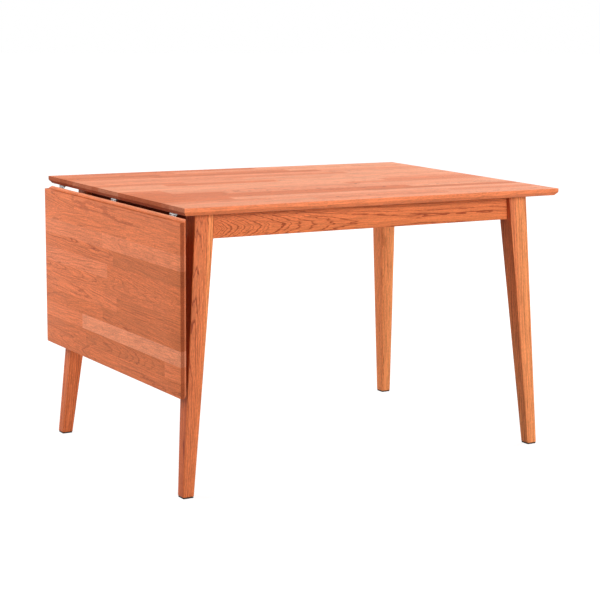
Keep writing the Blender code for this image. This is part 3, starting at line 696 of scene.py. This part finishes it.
oak_panel = oiled_oak("oiled_oak_panel", OAK_PANEL_TONES, rings=320.0, wander=0.0045, contrast=0.62,
                      gloss=0.54, sheen=0.17)
stack = np.random.default_rng(TOP_SEED)
first_cut = stack.uniform(*FIRST_STAVE, (TOP_ROWS, 1))
further_cuts = np.arange(TOP_STAVES - 1) * stack.uniform(*STAVE_LENGTH, (TOP_ROWS, 1))
top_joints = np.round((TOP_FROM_X + first_cut + further_cuts) / STAVE_GRID) * STAVE_GRID
top_joints[top_joints > TOP_TO_X - SHORTEST_STAVE] = np.inf
top_tones = stack.normal(TOP_TONE, TOP_TONE_SPREAD, (TOP_ROWS, TOP_STAVES)) + TOP_PAINTED_SHEEN
top_tones = np.clip(top_tones, 0.0, TOP_DARKEST)
top_tones[0] = FRONT_ROW_TONE
top_figures = stack.uniform(*TOP_FIGURES, (TOP_ROWS, TOP_STAVES))
x_lines = np.concatenate([[TOP_FROM_X], np.unique(top_joints[np.isfinite(top_joints)]), [TOP_TO_X]])
y_lines = np.linspace(-PANEL_HALF_WIDTH, PANEL_HALF_WIDTH, TOP_ROWS + 1)
points, faces = panel_surface(x_lines, y_lines, rim_line(UNDER_BEVEL, UNDER_BEVEL, RIM_LOW_Z))
top = new_piece("oak_top", points, faces, oak_panel, "frame", ["table_top"])
at, middle, facing = face_corners(top)
top_pitch = 2.0 * PANEL_HALF_WIDTH / TOP_ROWS
along, across, below, row, stave = stave_marks(at[:, 0], at[:, 1], middle[:, 0], middle[:, 1],
                                               -PANEL_HALF_WIDTH, top_pitch, top_joints, TOP_TREES)
on_end, on_rim = np.abs(facing[:, 0]) > HALF_ON, np.abs(facing[:, 1]) > HALF_ON
under, on_bevel = facing[:, 2] < -SQUARE_ON, facing[:, 2] < -HALF_ON
tone = np.where(on_rim, RIM_TONE, top_tones[row, stave])
# Painted shade: extra tone on the underside, and the bevels under both ends darkened past their end grain.
tone = tone + np.select([under, on_bevel], [UNDERSIDE_PAINTED_SHADE, BEVEL_TONE], 0.0)
soak_and_painted_light = np.select([on_end & on_bevel, on_end, on_rim], [END_BEVEL_PAINTED_SHADE, END_SOAKED, -RIM_LIFT], 0.0)
lay_grain(top, along, across, at[:, 2] - TOP_Z + below, tone,
          np.where(on_rim, RIM_FIGURE, top_figures[row, stave]), soak_and_painted_light)

# ---- Top angles
# Six bent steel angles hold the top down on the aprons, each with two screws up into the top and two
# into the apron. The slack of their holes lets the panel swell and shrink.
ANGLE_FACE = 0.002
ANGLE_HOLE = 0.015
ANGLE_HOLES_APART = 0.011
ANGLE_X = 0.25
ANGLE_SCREWS_SEED = 40
# A screw's head: radius, height of its dome, and its foot as a share of the radius and a depth
PAN_HEAD = (0.0036, 0.0013, (0.55, 0.0012))
SCREW_NET = 13
# Cross recess, in shares of the radius: half the width of an arm, its reach and its slope, and its depth
RECESS_HALF, RECESS_REACH, RECESS_SLOPE, RECESS_DEPTH = 0.18, 0.78, 0.25, 0.0012
# A direction that no screw follows, from which the sides of every head are found
SKEW = (0.36, 0.48, 0.80)


def plated(prefix):
    """Gives the zinc finish to every solid whose name starts with the prefix."""
    for node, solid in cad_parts.items():
        if node.startswith(prefix):
            solid.data.materials.clear()
            solid.data.materials.append(zinc)


def screw_heads(mouths, inward, radius, dome, foot, seed):
    """Heads with a cross recess, one for each mouth. A square net is bent into a disc, each side drawn in
    by the other; its height is a dome less two crossing grooves. The rim runs down to the foot, which
    gives its share of the radius and its depth. Each head is turned by chance."""
    line = np.linspace(-1.0, 1.0, SCREW_NET)
    u, v = (side.ravel() for side in np.meshgrid(line, line, indexing="ij"))
    x, y = u * np.sqrt(1.0 - v * v / 2.0), v * np.sqrt(1.0 - u * u / 2.0)
    arms = [np.clip(1.0 - np.abs(a) / RECESS_HALF, 0.0, 1.0)
            * np.clip((RECESS_REACH - np.abs(b)) / RECESS_SLOPE, 0.0, 1.0) for a, b in ((x, y), (y, x))]
    height = dome * (1.0 - x * x - y * y) - RECESS_DEPTH * np.maximum(*arms)
    sheet, border = net_parts(SCREW_NET, SCREW_NET)
    net = np.stack([x * radius, y * radius, height], -1)
    skirt = net[border] * (foot[0], foot[0], 0.0) - (0.0, 0.0, foot[1])
    local = np.concatenate([net, skirt])
    inward = np.array(inward)
    side = np.cross(inward, SKEW)
    side /= np.linalg.norm(side)
    turn = np.random.default_rng(seed).uniform(0.0, 2.0 * math.pi, (len(mouths), 1))
    first = np.cos(turn) * side + np.sin(turn) * np.cross(inward, side)
    second = np.cross(inward, first)
    points = (np.asarray(mouths)[:, None] + local[None, :, :1] * first[:, None]
              + local[None, :, 1:2] * second[:, None] - local[None, :, 2:] * inward)
    low = len(net) + np.arange(len(border))
    wall = np.stack([border, np.roll(border, -1), np.roll(low, -1), low], -1)
    quads = np.concatenate([sheet, wall])
    start = np.arange(len(mouths))[:, None] * len(local)
    return points, (quads + start[..., None]).reshape(-1, 4).tolist() + (low + start).tolist()


plated("top_angle_")
pair = np.array([-ANGLE_HOLES_APART, ANGLE_HOLES_APART])
long_x = TABLE_MIDDLE_X + np.concatenate([pair - ANGLE_X, pair + ANGLE_X])
under_z, upright_z = HEAD_Z - ANGLE_FACE, HEAD_Z - ANGLE_HOLE
up_heads, side_heads = [], []
for way in (-1.0, 1.0):
    inner_x, inner_y = TABLE_MIDDLE_X + way * APRON_INNER_CORNER[0], way * APRON_INNER_CORNER[1]
    up_heads += [(x, inner_y - way * ANGLE_HOLE, under_z) for x in long_x]
    up_heads += [(inner_x - way * ANGLE_HOLE, y, under_z) for y in pair]
    side_heads.append(([(x, inner_y - way * ANGLE_FACE, upright_z) for x in long_x], (0.0, way, 0.0)))
    side_heads.append(([(inner_x - way * ANGLE_FACE, y, upright_z) for y in pair], (way, 0.0, 0.0)))
for count, (mouths, inward) in enumerate([(up_heads, (0.0, 0.0, 1.0)), *side_heads]):
    points, faces = screw_heads(mouths, inward, *PAN_HEAD, ANGLE_SCREWS_SEED + count)
    new_piece(f"angle_screws_{count}", points, faces, zinc, "frame")

# ---- Leaf
# The same panel of staves, hung on the left end by three hinges. Its staves run across the table, and
# its hinge edge slants the other way, so that it tucks under the rim of the top. It is drawn level with
# the top and then turned down.
LEAF_FROM_X, LEAF_TO_X = -1.038, -0.595
LEAF_TUCK = -0.0074
LEAF_RIM_LOW_Z = 0.7358
HINGE_X, HINGE_Z = -0.5832, 0.7241
HANG = math.radians(90.8)
# Painted highlight: how much paler the slanted hinge edge grows towards the leaf's underside
TUCK_PAINTED_HIGHLIGHT = 0.6
LEAF_END_SOAKED, LEAF_END_POWER = 0.85, 8
LEAF_TREES = 33
# Rows from the hinge edge to the free one: where the staves are butted, then tone and figure of each
LEAF_STAVES = [
    ([0.210], [(0.52, 0.9), (0.54, 1.4)]),
    ([-0.110], [(0.46, 0.5), (0.48, 0.8)]),
    ([0.033], [(0.36, 0.4), (0.38, 0.7)]),
    ([-0.030], [(0.82, 1.0), (0.56, 1.4)]),
    ([0.005], [(0.62, 0.9), (0.38, 1.3)]),
    ([0.071], [(0.58, 0.7), (0.50, 1.0)]),
    ([-0.050], [(0.70, 0.6), (0.48, 0.9)]),
    ([0.036], [(0.77, 1.0), (0.64, 0.6)]),
    ([0.164], [(0.22, 0.3), (0.44, 0.6)]),
    ([-0.320, 0.140], [(0.44, 0.5), (0.74, 1.1), (0.62, 0.8)]),
    ([0.120], [(0.60, 0.7), (0.60, 0.8)]),
]


def hung(points):
    """Turns points drawn level with the top down about the hinge line."""
    x, z = points[..., 0] - HINGE_X, points[..., 2] - HINGE_Z
    return np.stack([HINGE_X + x * math.cos(HANG) - z * math.sin(HANG), points[..., 1],
                     HINGE_Z + x * math.sin(HANG) + z * math.cos(HANG)], -1)


leaf_rows = LEAF_STAVES[::-1]
leaf_joints = np.array([(joints + [np.inf])[:2] for joints, _ in leaf_rows])
leaf_woods = np.array([(woods + woods[-1:])[:3] for _, woods in leaf_rows])
x_lines = np.linspace(LEAF_FROM_X, LEAF_TO_X, len(leaf_rows) + 1)
cuts = np.unique(leaf_joints[np.isfinite(leaf_joints)])
y_lines = np.concatenate([[-PANEL_HALF_WIDTH], cuts, [PANEL_HALF_WIDTH]])
points, faces = panel_surface(x_lines, y_lines, rim_line(UNDER_BEVEL, LEAF_TUCK, LEAF_RIM_LOW_Z))
leaf = new_piece("oak_leaf", points, faces, oak_panel, "leaf", ["drop_leaf"])
at, middle, facing = face_corners(leaf)
leaf_pitch = (LEAF_TO_X - LEAF_FROM_X) / len(leaf_rows)
along, across, below, row, stave = stave_marks(at[:, 1], at[:, 0], middle[:, 1], middle[:, 0], LEAF_FROM_X,
                                               leaf_pitch, leaf_joints, LEAF_TREES)
tone, figure = leaf_woods[row, stave].T
# Painted highlight: the slanted hinge edge grows pale towards the underside, which gets painted shade.
tuck_highlight = np.clip((LEAF_RIM_LOW_Z - at[:, 2]) / (LEAF_RIM_LOW_Z - PANEL_UNDERSIDE), 0.0, 1.0)
tuck_highlight = tuck_highlight * (facing[:, 0] > HALF_ON)
tone = (tone + UNDERSIDE_PAINTED_SHADE * (facing[:, 2] < -SQUARE_ON)) * (1.0 - tuck_highlight)
soak_and_painted_light = LEAF_END_SOAKED * np.abs(facing[:, 1]) ** LEAF_END_POWER - TUCK_PAINTED_HIGHLIGHT * tuck_highlight
lay_grain(leaf, along, across, at[:, 2] - TOP_Z + below, tone, figure, soak_and_painted_light)
level = np.empty(len(leaf.data.vertices) * 3)
leaf.data.vertices.foreach_get("co", level)
leaf.data.vertices.foreach_set("co", hung(level.reshape(-1, 3)).ravel())
leaf.data.update()

# ---- Hinges
# Three small butt hinges of rolled steel carry the leaf. Each plate lies flat under its panel's edge, held
# by three countersunk screws, and the knuckles turn on one pin.
HINGE_Y = np.array([-0.327, 0.004, 0.335])
# Holes of one plate: how far out from the pin, and how far along it
PLATE_HOLES = np.array([[0.011, -0.008], [0.022, 0.0], [0.011, 0.008]])
PLATE_FACE_Z = 0.7247
SUNK_HEAD = (0.0038, 0.0, (0.30, 0.0027))
HINGE_SCREWS_SEED = 50

plated("hinge_")
out, shift = np.tile(PLATE_HOLES, (len(HINGE_Y), 1)).T
y = np.repeat(HINGE_Y, len(PLATE_HOLES)) + shift
for body, way in (("frame", 1.0), ("leaf", -1.0)):
    mouths = np.stack([HINGE_X + way * out, y, np.full(y.size, PLATE_FACE_Z)], -1)
    points, faces = screw_heads(mouths, (0.0, 0.0, 1.0), *SUNK_HEAD, HINGE_SCREWS_SEED)
    points = points if body == "frame" else hung(points)
    new_piece(f"hinge_screws_{body}", points, faces, zinc, body)

# ---- Flap stays
# Two flat steel arms swing up with the leaf and carry it. Each turns on a rivet in a bracket screwed to
# the left apron, and its tip rests on a strip screwed under the leaf.
STAYS_Y = (-0.200, 0.200)
BRACKET_X = -0.5173
BRACKET_HOLES_Z = (0.668443, 0.687443)
BRACKET_HOLES_SHIFT = -0.011
CATCH_HOLES_X = (-0.754053, -0.881053)
BRACKET_SCREWS_SEED, CATCH_SCREWS_SEED = 60, 61

plated("stay_")
mouths = [(BRACKET_X, y + BRACKET_HOLES_SHIFT, z) for y in STAYS_Y for z in BRACKET_HOLES_Z]
points, faces = screw_heads(mouths, (1.0, 0.0, 0.0), *SUNK_HEAD, BRACKET_SCREWS_SEED)
new_piece("bracket_screws", points, faces, zinc, "frame")
mouths = [(x, y, PLATE_FACE_Z) for y in STAYS_Y for x in CATCH_HOLES_X]
points, faces = screw_heads(mouths, (0.0, 0.0, 1.0), *SUNK_HEAD, CATCH_SCREWS_SEED)
new_piece("catch_screws", hung(points), faces, zinc, "leaf")

# ---- Studio
# A white sweep: the floor is white to the eye and in reflections, and keeps a faint shadow. From below
# it is clear, so that the underside of the table can be looked at. Five soft boxes light it.
FLOOR_HALF = 30.0
# The floor glows a little less near the table than further off. One grey takes the shadow that the eye
# sees, and the other is what the floor throws back on the table.
FADE_FROM, FADE_TO, FADE_NEAR, FADE_FAR = 1.0, 3.0, 0.88, 1.0
SHADOW_GREY = (0.25, 0.25, 0.25, 1.0)
GROUND_GREY = (0.32, 0.32, 0.32, 1.0)
WHITE = (1.0, 1.0, 1.0, 1.0)
ROOM_LIGHT = 0.22
# Each lamp: where it stands, what it points at, its width, its height and its power in watts
SOFT_BOXES = {
    "front_box": ((1.8, -9.1, 2.7), (0.0, 0.0, 0.40), 3.0, 2.0, 580.0),
    "side_box": ((-5.4, -2.0, 2.6), (0.0, 0.0, 0.40), 2.0, 2.0, 40.0),
    "left_box": ((-4.4, 2.1, 3.9), (-0.1, 0.0, 0.5), 2.6, 2.6, 164.0),
    "right_box": ((3.6, 0.6, 3.6), (0.4, 0.0, 0.5), 2.4, 2.4, 110.0),
    "rear_box": ((-4.2, 3.6, 1.6), (0.0, 0.0, 0.40), 2.0, 2.0, 57.0),
}
scene = bpy.context.scene
scene.view_settings.view_transform = "Standard"


def seen_directly(tree):
    """1 for rays from the camera, and for mirror and glass rays, that should find a white room."""
    path = add_node(tree, "ShaderNodeLightPath")
    seen = reckon(tree, "MAXIMUM", path.outputs["Is Camera Ray"], path.outputs["Is Glossy Ray"])
    return reckon(tree, "MAXIMUM", seen, path.outputs["Is Transmission Ray"])


def either(tree, share, first, second):
    """The first shader where the share is 0, the second where it is 1."""
    return add_node(tree, "ShaderNodeMixShader", None, i0=share, i1=first, i2=second).outputs[0]


sweep = bpy.data.materials.new("white_sweep")
sweep.use_nodes = True
tree = sweep.node_tree
tree.nodes.clear()
place = add_node(tree, "ShaderNodeTexCoord").outputs["Object"]
away = add_node(tree, "ShaderNodeVectorMath", {"operation": "LENGTH"}, i0=place).outputs["Value"]
fade = add_node(tree, "ShaderNodeMapRange", None, i0=away, i1=FADE_FROM, i2=FADE_TO, i3=FADE_NEAR,
                i4=FADE_FAR).outputs[0]
glow = add_node(tree, "ShaderNodeEmission", None, Color=WHITE, Strength=fade).outputs[0]
faint = add_node(tree, "ShaderNodeBsdfDiffuse", None, Color=SHADOW_GREY).outputs[0]
white = add_node(tree, "ShaderNodeAddShader", None, i0=glow, i1=faint).outputs[0]
ground = add_node(tree, "ShaderNodeBsdfDiffuse", None, Color=GROUND_GREY).outputs[0]
from_above = either(tree, seen_directly(tree), ground, white)
below_floor = add_node(tree, "ShaderNodeNewGeometry").outputs["Backfacing"]
clear = add_node(tree, "ShaderNodeBsdfTransparent").outputs[0]
add_node(tree, "ShaderNodeOutputMaterial", None, Surface=either(tree, below_floor, from_above, clear))
mesh = bpy.data.meshes.new("studio_floor")
mesh.from_pydata([(-FLOOR_HALF, -FLOOR_HALF, 0.0), (FLOOR_HALF, -FLOOR_HALF, 0.0),
                  (FLOOR_HALF, FLOOR_HALF, 0.0), (-FLOOR_HALF, FLOOR_HALF, 0.0)], [], [[0, 1, 2, 3]])
mesh.materials.append(sweep)
floor = bpy.data.objects.new("studio_floor", mesh)
scene.collection.objects.link(floor)

room = bpy.data.worlds.new("white_room")
room.use_nodes = True
scene.world = room
tree = room.node_tree
tree.nodes.clear()
soft = add_node(tree, "ShaderNodeBackground", None, Color=WHITE, Strength=ROOM_LIGHT).outputs[0]
bright = add_node(tree, "ShaderNodeBackground", None, Color=WHITE, Strength=1.0).outputs[0]
add_node(tree, "ShaderNodeOutputWorld", None, Surface=either(tree, seen_directly(tree), soft, bright))

for name, (stand, aim, width, height, power) in SOFT_BOXES.items():
    lamp = bpy.data.lights.new(name, "AREA")
    lamp.shape = "RECTANGLE"
    lamp.size, lamp.size_y, lamp.energy = width, height, power
    box = bpy.data.objects.new(name, lamp)
    box.location = stand
    x, y, z = np.array(aim) - np.array(stand)
    box.rotation_euler = (math.atan2(math.hypot(x, y), -z), 0.0, math.atan2(-x, y))
    scene.collection.objects.link(box)

# ---- Camera
# A long lens at standing height, looking down on the table from the left of its front. Its place and
# turn were fitted to the corners of the table in the photograph. Sensor and lens are in millimetres.
CAMERA_AT = (-2.5194, -3.94161, 1.2515)
CAMERA_AZIMUTH, CAMERA_ELEVATION, CAMERA_ROLL = np.radians([-32.6478, 10.2272, 1.2606])
CAMERA_SENSOR, CAMERA_LENS = 36.0, 99.344

view = bpy.data.cameras.new("camera")
view.sensor_width, view.lens = CAMERA_SENSOR, CAMERA_LENS
camera = bpy.data.objects.new("camera", view)
back = np.array([math.sin(CAMERA_AZIMUTH) * math.cos(CAMERA_ELEVATION),
                 -math.cos(CAMERA_AZIMUTH) * math.cos(CAMERA_ELEVATION), math.sin(CAMERA_ELEVATION)])
right = np.cross((0.0, 0.0, 1.0), back)
right /= np.linalg.norm(right)
up = np.cross(back, right)
turned_right = math.cos(CAMERA_ROLL) * right + math.sin(CAMERA_ROLL) * up
turned_up = math.cos(CAMERA_ROLL) * up - math.sin(CAMERA_ROLL) * right
pose = np.eye(4)
pose[:3] = np.stack([turned_right, turned_up, back, np.array(CAMERA_AT)], 1)
camera.matrix_world = pose.T
scene.collection.objects.link(camera)
scene.camera = camera
